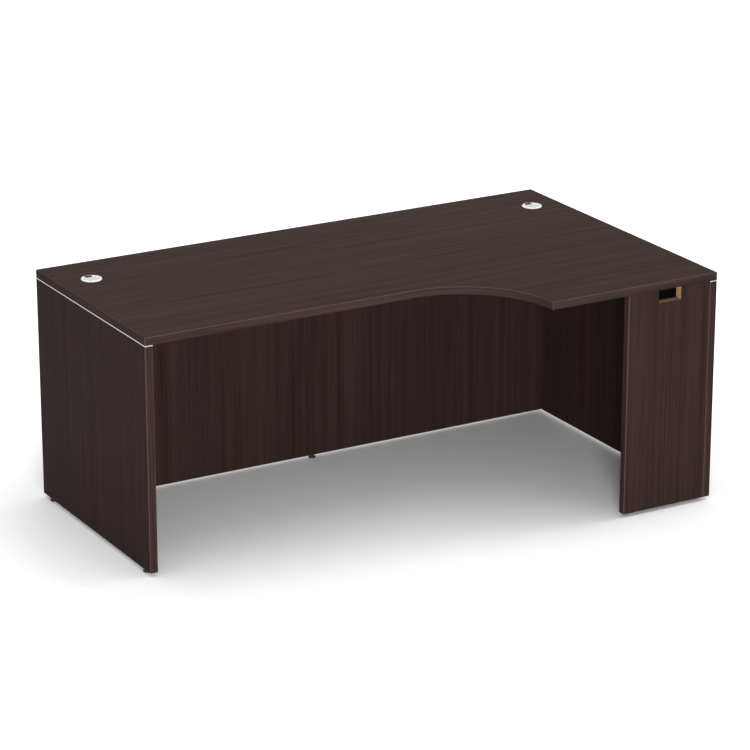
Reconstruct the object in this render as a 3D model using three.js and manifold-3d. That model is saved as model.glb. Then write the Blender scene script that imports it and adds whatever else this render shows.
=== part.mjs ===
// A laminate teacher desk with an extended right corner, in millimetres, with +Z up.
// The origin is on the floor under the middle of the desk. The user sits on the -Y side and faces +Y,
// so +X is the user's right. The top is deep at the right end and shallow at the left, with a concave
// quarter circle between the two depths. Boards meet in cam locks, and levellers hold them off the floor.

import * as THREE from "three";
import { mergeVertices } from "three/addons/utils/BufferGeometryUtils.js";
import Module from "manifold-3d";

// Driving dimensions
const WIDTH = 1803.4;
const DEPTH_RIGHT = 1066.8;
const DEPTH_LEFT = 762;
const HEIGHT = 749.3;
const BOARD = 25.4;
const BAND = 3; // thickness of the edge band
const STRIP = 3; // thickness of the metal strip between an end panel and the top
const FLOOR_GAP = 12; // the boards' height above the floor, on their levellers
const LOBE_WIDTH = 600; // length of the right front edge, up to the tip of the curve
const REAR_OVERHANG = 101.6; // from the top's rear edge to the modesty panel
const SUPPORT_WIDTH = 299;
const NOTCH_WIDTH = 82;
const NOTCH_HEIGHT = 40;
const FIT = 0.3; // gap between pieces that touch

// Cable grommets
const GROMMET_X = 795; // from the middle of the desk
const GROMMET_FROM_REAR = 175;
const GROMMET_HOLE_R = 28.5;
const FLANGE_R = 32.5;
const FLANGE_HEIGHT = 3.2;
const FLANGE_RIM = 1.8; // width of the flange's rim around the cap
const LINER_DEPTH = 21;
const LEDGE_R = 24.8; // bore of the liner under the ledge that carries the cap
const CAP_EDGE = 1.7; // thickness of the cap's edge
const CAP_SINK = 0.2; // how far the cap lies below the flange's top
const CAP_PLATE = 1.5;
const DISH_R = 26;
const DISH_DEPTH = 1;
const SKIRT_HEIGHT = 8.2;
const SKIRT_WALL = 1.6;
const SLOT_WIDTH = 25;
const SLOT_INNER = 15; // from the cap's centre to the slot's straight side

// Levellers
const PAD_R = 12.5;
const PAD_NECK_R = 7.5;
const PAD_RIM = 2.5;
const PAD_HEIGHT = 7.5;
const SOCKET_R = 2.9;
const SOCKET_DEPTH = 3.5;
const SPIGOT_R = 2.5;
const HEX_R = 6.5;
const HEX_HEIGHT = 3.7;
const STEM_R = 3.9;
const STEM_TOP = 40;
const INSERT_R = 6;
const INSERT_BORE_R = 4.2;
const INSERT_LENGTH = 22;
const LEVELLER_INSET = 49; // from the end of a panel to a leveller

// Cam locks
const CAM_R = 7.4;
const CAM_HEIGHT = 12.4;
const CAM_FROM_EDGE = 34; // from the joint to the cam's middle
const POCKET_R = 7.8;
const POCKET_DEPTH = 13;
const BOLT_SCREW_R = 2.5;
const BOLT_SCREW_LENGTH = 11;
const BOLT_SHAFT_R = 3;
const BOLT_SHAFT_LENGTH = 28;
const BOLT_HEAD_R = 3.5;
const BOLT_HEAD_LENGTH = 5;
const BOLT_BORE_R = 4.3;

// Sides of a round piece
const FINE = 32;
const ROUND = 16;
const SMALL = 12;
const CURVE_SIDES = 24; // segments along the top's quarter circle

// Places that follow from the dimensions
const SIDE_X = WIDTH / 2;
const REAR_Y = DEPTH_RIGHT / 2;
const FRONT_RIGHT_Y = REAR_Y - DEPTH_RIGHT;
const FRONT_LEFT_Y = REAR_Y - DEPTH_LEFT;
const CURVE_R = DEPTH_RIGHT - DEPTH_LEFT;
const CURVE_X = SIDE_X - LOBE_WIDTH - CURVE_R; // the quarter circle's centre, on the right front edge's line
const UNDERSIDE_Z = HEIGHT - BOARD;
const PANEL_TOP_Z = UNDERSIDE_Z - STRIP;
const INNER_X = SIDE_X - BOARD;
const PANEL_X = SIDE_X - BOARD / 2;
const MODESTY_REAR_Y = REAR_Y - REAR_OVERHANG;
const MODESTY_Y = MODESTY_REAR_Y - BOARD / 2;
const SUPPORT_X = INNER_X - SUPPORT_WIDTH;
const SUPPORT_Y = FRONT_RIGHT_Y + BOARD / 2;
const NOTCH_X = INNER_X - SUPPORT_WIDTH / 2;
const GROMMET_Y = REAR_Y - GROMMET_FROM_REAR;

const UP = new THREE.Vector3(0, 0, 1);
const DOWN = new THREE.Vector3(0, 0, -1);
const RIGHT = new THREE.Vector3(1, 0, 0);
const LEFT = new THREE.Vector3(-1, 0, 0);
const REAR = new THREE.Vector3(0, 1, 0);

const finish = (color, roughness, metalness) =>
  new THREE.MeshStandardMaterial({ color, roughness, metalness });
const MATERIALS = {
  topLaminate: finish(0x443937, 0.5, 0),
  panelLaminate: finish(0x3a2f2d, 0.55, 0),
  edgeBand: finish(0x4a3d39, 0.45, 0),
  aluminium: finish(0xc9cacc, 0.3, 1),
  greyPlastic: finish(0xcecdcd, 0.4, 0),
  blackPlastic: finish(0x151515, 0.5, 0),
  zinc: finish(0x8f9194, 0.35, 1),
  blackSteel: finish(0x1a1a1c, 0.45, 1),
};

const wasm = await Module();
wasm.setup();

// A closed three.js geometry as a solid that can be cut and joined.
function solidOf(geometry) {
  const bare = geometry.clone();
  bare.deleteAttribute("normal");
  bare.deleteAttribute("uv");
  const merged = mergeVertices(bare, 1e-4);
  const vertProperties = merged.attributes.position.array;
  const triVerts = new Uint32Array(merged.index.array);
  return new wasm.Manifold(new wasm.Mesh({ numProp: 3, vertProperties, triVerts }));
}

function geometryOf(solid) {
  const mesh = solid.getMesh();
  const geometry = new THREE.BufferGeometry();
  geometry.setAttribute("position", new THREE.BufferAttribute(mesh.vertProperties, 3));
  geometry.setIndex(new THREE.BufferAttribute(mesh.triVerts, 1));
  geometry.computeVertexNormals();
  return geometry;
}

const cut = (solid, cutters) => cutters.reduce((left, cutter) => left.subtract(cutter), solid);

function block(x0, x1, y0, y1, z0, z1) {
  const geometry = new THREE.BoxGeometry(x1 - x0, y1 - y0, z1 - z0);
  return solidOf(geometry.translate((x0 + x1) / 2, (y0 + y1) / 2, (z0 + z1) / 2));
}

// A round bar from one height to another, standing on the Z axis.
function bar(radius, z0, z1, sides) {
  const geometry = new THREE.CylinderGeometry(radius, radius, z1 - z0, sides);
  return geometry.rotateX(Math.PI / 2).translate(0, 0, (z0 + z1) / 2);
}

// A turned piece from [radius, height] pairs, in order from its lowest point up its outside.
function turned(profile, sides) {
  const points = profile.map(([radius, z]) => new THREE.Vector2(radius, z));
  return new THREE.LatheGeometry(points, sides).rotateX(Math.PI / 2);
}

// The top's outline in plan, moved inwards by inset.
function topOutline(inset) {
  const radius = CURVE_R + inset;
  const tipAngle = Math.asin(inset / radius);
  const outline = new THREE.Shape();
  outline.moveTo(-SIDE_X + inset, FRONT_LEFT_Y + inset);
  outline.lineTo(CURVE_X, FRONT_LEFT_Y + inset);
  outline.absarc(CURVE_X, FRONT_RIGHT_Y, radius, Math.PI / 2, tipAngle, true);
  outline.lineTo(SIDE_X - inset, FRONT_RIGHT_Y + inset);
  outline.lineTo(SIDE_X - inset, REAR_Y - inset);
  outline.lineTo(-SIDE_X + inset, REAR_Y - inset);
  outline.closePath();
  return outline;
}

function slab(outline, z0, z1) {
  const options = { depth: z1 - z0, bevelEnabled: false, curveSegments: CURVE_SIDES };
  return solidOf(new THREE.ExtrudeGeometry(outline, options).translate(0, 0, z0));
}

// Cam locks. A lock's own frame has its origin on the joint between two boards, in the middle of their
// thickness, +Z into the board that holds the cam, and +X towards the face that the cam's pocket opens in.
const locks = [];

function addLock(name, bolted, cammed, at, into, face) {
  const side = new THREE.Vector3().crossVectors(into, face);
  const frame = new THREE.Matrix4().makeBasis(face, side, into).setPosition(...at);
  locks.push({ name, bolted, cammed, frame });
}

function addEndPanelLocks(side, sign, inward, places) {
  for (const [where, y] of places) {
    const at = [sign * PANEL_X, y, UNDERSIDE_Z];
    addLock(`${side}_top_${where}`, "desk_top", `${side}_end_panel`, at, DOWN, inward);
  }
}

const MODESTY_LOCKS = [["lower", 130], ["upper", 610]];
const SUPPORT_LOCKS = [["lower", 130], ["upper", 560]];
const LOCK_INSET = 75; // from the end of a panel's top edge to its lock

addEndPanelLocks("left", -1, RIGHT, [
  ["front", FRONT_LEFT_Y + LOCK_INSET],
  ["rear", REAR_Y - LOCK_INSET],
]);
addEndPanelLocks("right", 1, LEFT, [
  ["front", FRONT_RIGHT_Y + LOCK_INSET],
  ["middle", (FRONT_RIGHT_Y + REAR_Y) / 2],
  ["rear", REAR_Y - LOCK_INSET],
]);
for (const [where, z] of MODESTY_LOCKS) {
  const left = [-INNER_X, MODESTY_Y, z];
  const right = [INNER_X, MODESTY_Y, z];
  addLock(`modesty_left_${where}`, "left_end_panel", "modesty_panel", left, RIGHT, REAR);
  addLock(`modesty_right_${where}`, "right_end_panel", "modesty_panel", right, LEFT, REAR);
}
addLock("modesty_top", "desk_top", "modesty_panel", [0, MODESTY_Y, UNDERSIDE_Z], DOWN, REAR);
for (const [where, z] of SUPPORT_LOCKS) {
  const at = [INNER_X, SUPPORT_Y, z];
  addLock(`support_right_${where}`, "right_end_panel", "support_panel", at, LEFT, REAR);
}
const SUPPORT_TOP_LOCK_X = (SUPPORT_X + NOTCH_X - NOTCH_WIDTH / 2) / 2;
addLock(
  "support_top", "desk_top", "support_panel", [SUPPORT_TOP_LOCK_X, SUPPORT_Y, UNDERSIDE_Z], DOWN, REAR,
);

const inFrame = (lock, geometry) => solidOf(geometry.applyMatrix4(lock.frame));

const screwHole = (lock) =>
  inFrame(lock, bar(BOLT_SCREW_R + FIT, -BOLT_SCREW_LENGTH - FIT, 1, SMALL));

const boltBore = (lock) => inFrame(lock, bar(BOLT_BORE_R, -1, CAM_FROM_EDGE, SMALL));

function camPocket(lock) {
  const hole = bar(POCKET_R, BOARD / 2 - POCKET_DEPTH, BOARD / 2 + 1, ROUND);
  return inFrame(lock, hole.rotateY(Math.PI / 2).translate(0, 0, CAM_FROM_EDGE));
}

// The holes that the locks need in one board.
function lockHoles(board) {
  const screws = locks.filter((lock) => lock.bolted === board).map(screwHole);
  const cammed = locks.filter((lock) => lock.cammed === board);
  return [...screws, ...cammed.map(boltBore), ...cammed.map(camPocket)];
}

function camBolt() {
  const shaftEnd = BOLT_SHAFT_LENGTH;
  const headEnd = BOLT_SHAFT_LENGTH + BOLT_HEAD_LENGTH;
  const profile = [
    [0, -BOLT_SCREW_LENGTH],
    [BOLT_SCREW_R, -BOLT_SCREW_LENGTH],
    [BOLT_SCREW_R, 0],
    [BOLT_SHAFT_R, 0],
    [BOLT_SHAFT_R, shaftEnd],
    [BOLT_HEAD_R, shaftEnd],
    [BOLT_HEAD_R, headEnd],
    [0, headEnd],
  ];
  return turned(profile, SMALL);
}

// The cam is a disc with a side bore that takes the bolt's head.
function cam() {
  const faceX = BOARD / 2 - FIT;
  const disc = bar(CAM_R, faceX - CAM_HEIGHT, faceX, ROUND);
  disc.rotateY(Math.PI / 2).translate(0, 0, CAM_FROM_EDGE);
  const bore = bar(BOLT_HEAD_R + FIT, 0, CAM_FROM_EDGE + FIT, SMALL);
  return geometryOf(cut(solidOf(disc), [solidOf(bore)]));
}

// Levellers
const levellers = [
  { name: "left_front", board: "left_end_panel", x: -PANEL_X, y: FRONT_LEFT_Y + LEVELLER_INSET },
  { name: "left_rear", board: "left_end_panel", x: -PANEL_X, y: REAR_Y - LEVELLER_INSET },
  { name: "right_front", board: "right_end_panel", x: PANEL_X, y: FRONT_RIGHT_Y + LEVELLER_INSET },
  { name: "right_rear", board: "right_end_panel", x: PANEL_X, y: REAR_Y - LEVELLER_INSET },
  { name: "middle", board: "modesty_panel", x: 0, y: MODESTY_Y },
];
const INSERT_BASE_Z = FLOOR_GAP + BAND + FIT;

function levellerHoles(board, radius, top) {
  const own = levellers.filter((leveller) => leveller.board === board);
  return own.map(({ x, y }) => solidOf(bar(radius, 0, top, SMALL).translate(x, y, 0)));
}

function footPad() {
  const profile = [
    [0, 0],
    [PAD_R, 0],
    [PAD_R, PAD_RIM],
    [PAD_NECK_R, PAD_HEIGHT],
    [SOCKET_R, PAD_HEIGHT],
    [SOCKET_R, PAD_HEIGHT - SOCKET_DEPTH],
    [0, PAD_HEIGHT - SOCKET_DEPTH],
  ];
  return turned(profile, ROUND);
}

// A round spigot for the pad's socket, a hexagon for a wrench and the threaded rod, from below.
function levellerStem() {
  const spigotBase = PAD_HEIGHT - SOCKET_DEPTH + FIT;
  const hexBase = PAD_HEIGHT + FIT;
  const hexTop = hexBase + HEX_HEIGHT;
  const spigot = solidOf(bar(SPIGOT_R, spigotBase, hexBase + 1, SMALL));
  const hexagon = solidOf(bar(HEX_R, hexBase, hexTop, 6));
  const rod = solidOf(bar(STEM_R, hexTop - 1, STEM_TOP, SMALL));
  return geometryOf(spigot.add(hexagon).add(rod));
}

function levellerInsert() {
  const profile = [
    [INSERT_BORE_R, INSERT_BASE_Z],
    [INSERT_R, INSERT_BASE_Z],
    [INSERT_R, INSERT_BASE_Z + INSERT_LENGTH],
    [INSERT_BORE_R, INSERT_BASE_Z + INSERT_LENGTH],
    [INSERT_BORE_R, INSERT_BASE_Z],
  ];
  return turned(profile, SMALL);
}

// Grommets, with their origin on the desk top's surface
const BORE_R = GROMMET_HOLE_R - FIT; // outside of the liner's tube
const RECESS_R = FLANGE_R - FLANGE_RIM;
const CAP_TOP_Z = FLANGE_HEIGHT - CAP_SINK;
const CAP_BASE_Z = CAP_TOP_Z - CAP_EDGE;
const LEDGE_Z = CAP_BASE_Z - FIT;

function grommetLiner() {
  const profile = [
    [LEDGE_R, -LINER_DEPTH],
    [BORE_R, -LINER_DEPTH],
    [BORE_R, FIT],
    [FLANGE_R, FIT],
    [FLANGE_R, FLANGE_HEIGHT],
    [RECESS_R, FLANGE_HEIGHT],
    [RECESS_R, LEDGE_Z],
    [LEDGE_R, LEDGE_Z],
    [LEDGE_R, -LINER_DEPTH],
  ];
  return turned(profile, FINE);
}

function grommetCap() {
  const rim = RECESS_R - FIT;
  const skirt = LEDGE_R - 2 * FIT;
  const skirtInner = skirt - SKIRT_WALL;
  const dish = CAP_TOP_Z - DISH_DEPTH;
  const profile = [
    [skirtInner, CAP_BASE_Z - SKIRT_HEIGHT],
    [skirt, CAP_BASE_Z - SKIRT_HEIGHT],
    [skirt, CAP_BASE_Z],
    [rim, CAP_BASE_Z],
    [rim, CAP_TOP_Z],
    [DISH_R, CAP_TOP_Z],
    [DISH_R, dish],
    [0, dish],
    [0, dish - CAP_PLATE],
    [skirtInner, dish - CAP_PLATE],
    [skirtInner, CAP_BASE_Z - SKIRT_HEIGHT],
  ];
  const half = SLOT_WIDTH / 2;
  const slot = block(-half, half, SLOT_INNER, FLANGE_R, -LINER_DEPTH, HEIGHT);
  return geometryOf(cut(solidOf(turned(profile, FINE)), [slot]));
}

const grommets = [["left", -GROMMET_X], ["right", GROMMET_X]];

// The desk top and its edge band
function deskTop() {
  const board = slab(topOutline(BAND + FIT), UNDERSIDE_Z, HEIGHT);
  const holes = grommets.map(([, x]) =>
    solidOf(bar(GROMMET_HOLE_R, UNDERSIDE_Z - 1, HEIGHT + 1, FINE).translate(x, GROMMET_Y, 0)));
  return cut(board, [...holes, ...lockHoles("desk_top")]);
}

const deskTopBand = () =>
  cut(slab(topOutline(0), UNDERSIDE_Z, HEIGHT), [slab(topOutline(BAND), 0, HEIGHT + 1)]);

// An end panel stands along Y. Its band runs up the front, under the bottom and up the rear.
function endPanel(side, sign, frontY) {
  const outer = sign * SIDE_X;
  const inner = sign * INNER_X;
  const x0 = Math.min(outer, inner);
  const x1 = Math.max(outer, inner);
  const name = `${side}_end_panel`;
  const edge = BAND + FIT;
  const topZ = PANEL_TOP_Z - FIT;
  const board = block(x0, x1, frontY + edge, REAR_Y - edge, FLOOR_GAP + edge, topZ);
  const whole = block(x0, x1, frontY, REAR_Y, FLOOR_GAP, topZ);
  const core = block(x0 - 1, x1 + 1, frontY + BAND, REAR_Y - BAND, FLOOR_GAP + BAND, HEIGHT);
  const strip = block(x0, x1, frontY, REAR_Y, PANEL_TOP_Z, UNDERSIDE_Z - FIT);
  const ownLocks = locks.filter((lock) => lock.cammed === name);
  return [
    [name, cut(board, [...lockHoles(name), ...levellerHoles(name, INSERT_R + FIT, STEM_TOP + 2)]),
      MATERIALS.panelLaminate],
    [`${name}_edge_band`, cut(whole, [core, ...levellerHoles(name, INSERT_BORE_R, STEM_TOP)]),
      MATERIALS.edgeBand],
    [`${side}_accent_strip`, cut(strip, ownLocks.map(boltBore)), MATERIALS.aluminium],
  ];
}

function modestyPanel() {
  const name = "modesty_panel";
  const [x0, x1] = [-INNER_X + FIT, INNER_X - FIT];
  const [y0, y1] = [MODESTY_REAR_Y - BOARD, MODESTY_REAR_Y];
  const board = block(x0, x1, y0, y1, FLOOR_GAP + BAND + FIT, UNDERSIDE_Z - FIT);
  const band = block(x0, x1, y0, y1, FLOOR_GAP, FLOOR_GAP + BAND);
  return [
    [name, cut(board, [...lockHoles(name), ...levellerHoles(name, INSERT_R + FIT, STEM_TOP + 2)]),
      MATERIALS.panelLaminate],
    [`${name}_edge_band`, cut(band, levellerHoles(name, INSERT_BORE_R, STEM_TOP)), MATERIALS.edgeBand],
  ];
}

// The support panel faces the user under the front right of the top, with a cable notch at its top.
function supportPanel() {
  const name = "support_panel";
  const x1 = INNER_X - FIT;
  const [y0, y1] = [FRONT_RIGHT_Y, FRONT_RIGHT_Y + BOARD];
  const edge = BAND + FIT;
  const topZ = UNDERSIDE_Z - FIT;
  const board = block(SUPPORT_X + edge, x1, y0, y1, FLOOR_GAP + edge, topZ);
  const whole = block(SUPPORT_X, x1, y0, y1, FLOOR_GAP, topZ);
  const core = block(SUPPORT_X + BAND, x1 + 1, y0 - 1, y1 + 1, FLOOR_GAP + BAND, HEIGHT);
  const halfNotch = NOTCH_WIDTH / 2;
  const notch = block(
    NOTCH_X - halfNotch, NOTCH_X + halfNotch, y0 - 1, y1 + 1, UNDERSIDE_Z - NOTCH_HEIGHT, HEIGHT,
  );
  return [
    [name, cut(board, [notch, ...lockHoles(name)]), MATERIALS.panelLaminate],
    [`${name}_edge_band`, cut(whole, [core]), MATERIALS.edgeBand],
  ];
}

function addMesh(parent, name, geometry, material) {
  const mesh = new THREE.Mesh(geometry, material);
  mesh.name = name;
  parent.add(mesh);
}

function groupAt(parent, x, y, z) {
  const group = new THREE.Group();
  group.position.set(x, y, z);
  parent.add(group);
  return group;
}

const desk = new THREE.Group();
desk.name = "teacher_desk";

const boards = [
  ["desk_top", deskTop(), MATERIALS.topLaminate],
  ["desk_top_edge_band", deskTopBand(), MATERIALS.edgeBand],
  ...endPanel("left", -1, FRONT_LEFT_Y),
  ...endPanel("right", 1, FRONT_RIGHT_Y),
  ...modestyPanel(),
  ...supportPanel(),
];
for (const [name, solid, material] of boards) {
  addMesh(desk, name, geometryOf(solid), material);
}

for (const lock of locks) {
  const group = new THREE.Group();
  lock.frame.decompose(group.position, group.quaternion, group.scale);
  desk.add(group);
  addMesh(group, `${lock.name}_cam`, cam(), MATERIALS.zinc);
  addMesh(group, `${lock.name}_cam_bolt`, camBolt(), MATERIALS.zinc);
}

for (const { name, x, y } of levellers) {
  const group = groupAt(desk, x, y, 0);
  addMesh(group, `${name}_leveller_insert`, levellerInsert(), MATERIALS.zinc);
  addMesh(group, `${name}_leveller_stem`, levellerStem(), MATERIALS.blackSteel);
  addMesh(group, `${name}_leveller_foot_pad`, footPad(), MATERIALS.blackPlastic);
}

for (const [side, x] of grommets) {
  const group = groupAt(desk, x, GROMMET_Y, HEIGHT);
  addMesh(group, `${side}_grommet_liner`, grommetLiner(), MATERIALS.greyPlastic);
  addMesh(group, `${side}_grommet_cap`, grommetCap(), MATERIALS.greyPlastic);
}

export default desk;
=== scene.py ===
"""Teacher desk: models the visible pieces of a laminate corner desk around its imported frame.

Run it as a script in Blender 4.5. Every length is in metres, +Z is up, and the origin is on the floor
under the middle of the desk. The user sits on the -Y side.
"""

import math

import bmesh
import bpy
from mathutils import Matrix, Vector


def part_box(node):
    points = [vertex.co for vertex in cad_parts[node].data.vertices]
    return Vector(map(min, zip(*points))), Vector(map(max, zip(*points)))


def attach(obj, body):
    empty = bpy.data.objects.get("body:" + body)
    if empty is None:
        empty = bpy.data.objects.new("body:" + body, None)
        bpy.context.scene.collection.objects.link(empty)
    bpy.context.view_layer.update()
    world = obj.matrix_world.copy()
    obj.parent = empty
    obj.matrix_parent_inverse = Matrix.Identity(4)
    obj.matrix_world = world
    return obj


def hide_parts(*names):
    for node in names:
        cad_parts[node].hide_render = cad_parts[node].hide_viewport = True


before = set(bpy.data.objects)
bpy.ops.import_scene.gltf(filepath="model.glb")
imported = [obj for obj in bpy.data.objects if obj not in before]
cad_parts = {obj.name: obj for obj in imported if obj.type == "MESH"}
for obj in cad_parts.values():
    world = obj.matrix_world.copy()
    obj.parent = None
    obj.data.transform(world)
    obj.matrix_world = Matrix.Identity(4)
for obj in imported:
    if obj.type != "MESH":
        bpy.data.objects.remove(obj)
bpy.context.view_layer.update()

bl_info = {
    "name": "Teacher Desk",
    "version": (1, 0, 0),
    "blender": (4, 5, 0),
    "location": "View3D > Sidebar > Teacher Desk",
    "description": "Models a laminate teacher desk with an extended corner around its packed frame",
    "category": "Add Mesh",
}

MM = 0.001
DESK = "desk"

# Millimetres that the pieces share
HALF_BOARD = 12.7
BOLT_MIDDLE = 11  # from a cam lock's joint to the middle of its bolt
SCREW_DEPTH = 11.5
POCKET_MOUTH = 14  # from the middle of a board to just outside its face
INSERT_TOP = 42  # the top of a leveller's hole, above the floor
CAM_HALF = 6.2  # half of a cam's thickness

GRAIN_STRETCH = 0.014  # how much the print's pattern is drawn out along the grain
LAMINATE_SPECULAR = 0.015
GLOW_RISES = (1.1, 1.7)  # metres from the middle of the floor

RIGHT = Vector((1, 0, 0))
LEFT = Vector((-1, 0, 0))
REAR = Vector((0, 1, 0))
UP = Vector((0, 0, 1))
DOWN = Vector((0, 0, -1))

# The two boards that each family of cam locks joins: the one with the cam, the one with the bolt's screw,
# the way from the joint into the cam's board, and the way that the cam faces.
LOCK_FAMILIES = {
    "left_top": ("left_end_panel", "desk_top", DOWN, RIGHT),
    "right_top": ("right_end_panel", "desk_top", DOWN, LEFT),
    "modesty_left": ("modesty_panel", "left_end_panel", RIGHT, REAR),
    "modesty_right": ("modesty_panel", "right_end_panel", LEFT, REAR),
    "modesty_top": ("modesty_panel", "desk_top", DOWN, REAR),
    "support_right": ("support_panel", "right_end_panel", LEFT, REAR),
    "support_top": ("support_panel", "desk_top", DOWN, REAR),
}
LEVELLERS = {
    "left_front": "left_end_panel",
    "left_rear": "left_end_panel",
    "right_front": "right_end_panel",
    "right_rear": "right_end_panel",
    "middle": "modesty_panel",
}
SIDES = ("left", "right")


def length(name, description, millimetres):
    """A size that the sidebar shows in the scene's own unit."""
    return bpy.props.FloatProperty(
        name=name, description=description, default=millimetres * MM, min=0, unit="LENGTH", precision=5
    )


def colour(name, description, default):
    """A colour in linear light."""
    return bpy.props.FloatVectorProperty(
        name=name, description=description, default=default, size=3, min=0, max=1, subtype="COLOR"
    )


class DeskSizes(bpy.types.PropertyGroup):
    """Sizes that the frame doesn't give."""

    band: length("Edge band", "Thickness of the band round each board", 3)
    seam: length("Seam", "Gap between a board and its edge band", 0.12)
    band_radius: length("Band radius", "Rounding of the edge band's long edges", 1.4)
    lower_radius: length("Lower radius", "Rounding of the band's edge under the desk top", 0.6)
    lobe: length("Lobe", "Length of the right front edge, up to the tip of the curve", 600)
    notch_width: length("Notch width", "Width of the cable notch in the support panel", 82)
    notch_height: length("Notch height", "Height of the cable notch, from the top's underside", 40)
    strip_edge: length("Strip edge", "Rounding of the accent strip's edges", 0.4)
    grommet_hole: length("Grommet hole", "Radius of the hole under each grommet", 28.5)
    slot_width: length("Slot width", "Width of the cable slot in each grommet's cap", 24)
    slot_inner: length("Slot depth", "From the cap's centre to the slot's straight side", 15.4)
    cam_pocket: length("Cam pocket", "Radius of the pocket that a cam turns in", 7.65)
    cam_pocket_depth: length("Cam pocket depth", "Depth of the pocket that a cam turns in", 13)
    bolt_bore: length("Bolt bore", "Radius of the bore that a cam bolt runs through", 4.2)
    screw_hole: length("Screw hole", "Radius of the hole that a cam bolt's screw bites in", 2.7)
    insert_hole: length("Insert hole", "Radius of the hole that holds a leveller's insert", 6.2)
    thread_pitch: length("Thread pitch", "Pitch of the leveller's thread", 1.25)
    thread_depth: length("Thread depth", "Depth of the leveller's thread", 0.6)


class DeskColours(bpy.types.PropertyGroup):
    """Colours of the finishes."""

    # Painted light: the top and the upright boards are one espresso laminate, and the top's copy is about twice as
    # light as the panels' because it faces up into the light.
    top: colour("Top laminate", "Espresso print of the desk top", (0.0360, 0.0232, 0.0210))
    panel: colour("Panel laminate", "Espresso print of the upright boards", (0.0185, 0.0114, 0.0104))
    band: colour("Edge band", "Espresso print of the edge bands", (0.0215, 0.0140, 0.0128))
    # The band core colour is partly the plastic's own core on the rounded edges and partly a painted highlight along
    # them.
    band_core_and_highlight: colour("Band core", "Solid plastic that shows on the band's rounded edges", (0.060, 0.039, 0.032))
    chips: colour("Particleboard", "Raw core of the boards", (0.27, 0.168, 0.075))
    aluminium: colour("Aluminium", "Accent strips", (0.60, 0.615, 0.62))
    # Painted shade: the liner and the cap are one plastic, and the cap's grey is a shaded copy of the liner's
    # near-white, put on the recessed dish.
    liner: colour("Grommet liner", "Flange, rim and tube of each grommet", (0.74, 0.74, 0.74))
    cap: colour("Grommet cap", "Lift-out cap of each grommet", (0.53, 0.527, 0.525))
    # Painted shade: the near-black stands for the shadow inside each grommet's tube and slot.
    inside: colour("Grommet inside", "Dark inside of each grommet's tube and slot", (0.02, 0.019, 0.018))
    foot: colour("Foot pad", "Black plastic of the foot pads", (0.012, 0.012, 0.013))
    black_steel: colour("Black steel", "Black oxide on the levellers' stems", (0.02, 0.02, 0.021))
    zinc: colour("Zinc", "Plated steel and die-cast cams", (0.52, 0.53, 0.54))


class StudioSettings(bpy.types.PropertyGroup):
    """Camera, floor and lights."""

    camera_place: bpy.props.FloatVectorProperty(
        name="Camera place",
        description="Where the camera stands",
        default=(-4.740, -8.244, 3.733),
        subtype="TRANSLATION",
        unit="LENGTH",
    )
    azimuth: bpy.props.FloatProperty(
        name="Azimuth", description="Turn of the view round +Z", default=math.radians(-29.876), unit="ROTATION"
    )
    elevation: bpy.props.FloatProperty(
        name="Elevation", description="How far the view looks down", default=math.radians(19.262), unit="ROTATION"
    )
    lens: bpy.props.FloatProperty(
        name="Lens", description="Focal length on a 36 mm sensor, in millimetres", default=155.56
    )
    floor_size: length("Floor", "Side of the square floor", 60000)
    floor_glow: bpy.props.FloatProperty(
        name="Floor glow", description="Light that the floor gives off away from the desk", default=0.3
    )
    sky: bpy.props.FloatProperty(
        name="Sky", description="Strength of the even white light from all round", default=0.74
    )
    low_key: bpy.props.FloatProperty(
        name="Low key", description="Power of the low light in front, on the left, in watts", default=660
    )
    right_fill: bpy.props.FloatProperty(
        name="Right fill", description="Power of the large light on the right, in watts", default=230
    )
    rear_fill: bpy.props.FloatProperty(
        name="Rear fill", description="Power of the large light behind the desk, in watts", default=50
    )
    overhead: bpy.props.FloatProperty(
        name="Overhead", description="Power of the large light above, in watts", default=110
    )


def sizes():
    return bpy.context.scene.desk_sizes


def colours():
    return bpy.context.scene.desk_colours


# Selecting and editing


def pick(piece):
    """Leaves piece as the only selected object, and the active one."""
    bpy.ops.object.select_all(action="DESELECT")
    piece.select_set(True)
    bpy.context.view_layer.objects.active = piece


def named(piece, name):
    piece.name = name
    piece.data.name = name
    return piece


def settle(piece):
    """Puts the object's place, turn and scale into its mesh."""
    pick(piece)
    bpy.ops.object.transform_apply(location=True, rotation=True, scale=True)
    return piece


def select_edges(piece, wanted):
    """Enters edit mode with the edges that wanted() is true of selected."""
    pick(piece)
    bpy.ops.object.mode_set(mode="EDIT")
    bpy.ops.mesh.select_mode(type="EDGE")
    bpy.ops.mesh.select_all(action="DESELECT")
    mesh = bmesh.from_edit_mesh(piece.data)
    for edge in mesh.edges:
        if wanted(edge):
            edge.select_set(True)
    bmesh.update_edit_mesh(piece.data)


def leave_edit():
    bpy.ops.object.mode_set(mode="OBJECT")


def is_sharp(edge):
    return len(edge.link_faces) == 2 and edge.calc_face_angle() > math.radians(40)


def middle_of(edge):
    return (edge.verts[0].co + edge.verts[1].co) / 2


def round_edges(piece, radius, segments, wanted=is_sharp, material=-1):
    """Bevels the chosen edges. The new faces take the material slot of that number."""
    select_edges(piece, wanted)
    bpy.ops.mesh.bevel(offset=radius, segments=segments, affect="EDGES", material=material)
    leave_edit()


def clean(piece):
    """Merges doubled points and turns every face outwards."""
    pick(piece)
    bpy.ops.object.mode_set(mode="EDIT")
    bpy.ops.mesh.select_all(action="SELECT")
    bpy.ops.mesh.remove_doubles(threshold=0.001 * MM)
    bpy.ops.mesh.normals_make_consistent(inside=False)
    leave_edit()
    return piece


def block(name, low, high):
    """A box between two corners."""
    bpy.ops.object.select_all(action="DESELECT")
    low, high = Vector(low), Vector(high)
    bpy.ops.mesh.primitive_cube_add(size=1, location=(low + high) / 2, scale=high - low)
    return settle(named(bpy.context.object, name))


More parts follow.
